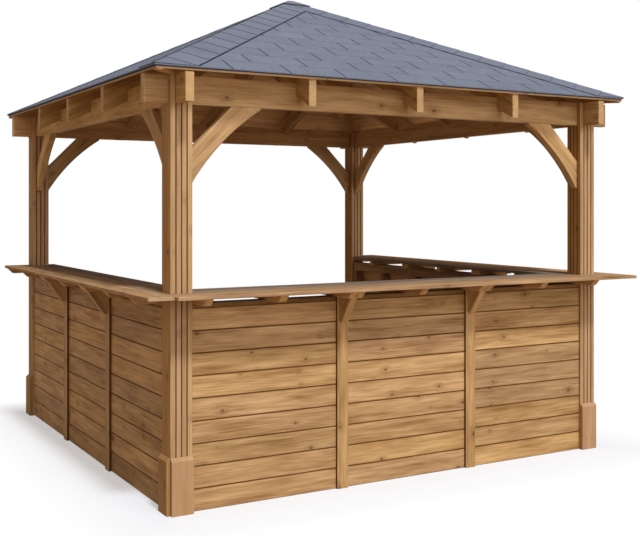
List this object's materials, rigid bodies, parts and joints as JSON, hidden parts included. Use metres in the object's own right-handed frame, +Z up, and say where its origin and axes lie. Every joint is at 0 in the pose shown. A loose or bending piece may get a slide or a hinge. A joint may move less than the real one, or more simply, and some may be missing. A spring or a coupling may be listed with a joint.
{
  "type": "garden bar gazebo",
  "caption": "Open timber garden gazebo with a hipped shingle roof on laminated posts, arched braces, half-height boarded walls with bar counters, and an open back",
  "frame": {"origin": "on the ground, under the middle of the plan box", "axes": "+X runs to the right along the front counter, +Y from the front to the open back, +Z up"},
  "size_m": [3.248, 3.224, 2.9928],
  "materials": {
    "post_timber": "stained pine, laminated",
    "frame_timber": "stained pine, planed",
    "plinth_timber": "stained pine, planed",
    "rafter_timber": "stained pine, planed",
    "deck_timber": "stained pine boards",
    "wall_timber": "stained pine boards",
    "stud_timber": "stained pine, planed",
    "counter_timber": "stained pine, planed",
    "shingle_felt": "mineral grit on bitumen felt"
  },
  "bodies": {
    "root": {"post_front_left": "post_timber", "braces_front_left": "frame_timber", "post_front_right": "post_timber", "braces_front_right": "frame_timber", "post_back_left": "post_timber", "braces_back_left": "frame_timber", "post_back_right": "post_timber", "braces_back_right": "frame_timber", "plinth_boards": "plinth_timber", "front_beam": "frame_timber", "front_rafters": "rafter_timber", "front_roof_deck": "deck_timber", "front_shingles": "shingle_felt", "right_beam": "frame_timber", "right_rafters": "rafter_timber", "right_roof_deck": "deck_timber", "right_shingles": "shingle_felt", "back_beam": "frame_timber", "back_rafters": "rafter_timber", "back_roof_deck": "deck_timber", "back_shingles": "shingle_felt", "left_beam": "frame_timber", "left_rafters": "rafter_timber", "left_roof_deck": "deck_timber", "left_shingles": "shingle_felt", "hip_rafters": "rafter_timber", "king_block": "rafter_timber", "hip_caps": "shingle_felt", "apex_cap": "shingle_felt", "front_cladding": "wall_timber", "front_wall_frame": "stud_timber", "front_battens": "frame_timber", "front_bearers": "frame_timber", "front_counter": "counter_timber", "left_cladding": "wall_timber", "left_wall_frame": "stud_timber", "left_battens": "frame_timber", "left_bearers": "frame_timber", "left_counter": "counter_timber", "right_cladding": "wall_timber", "right_wall_frame": "stud_timber", "right_battens": "frame_timber", "right_bearers": "frame_timber", "right_counter": "counter_timber"}
  },
  "joints": []
}
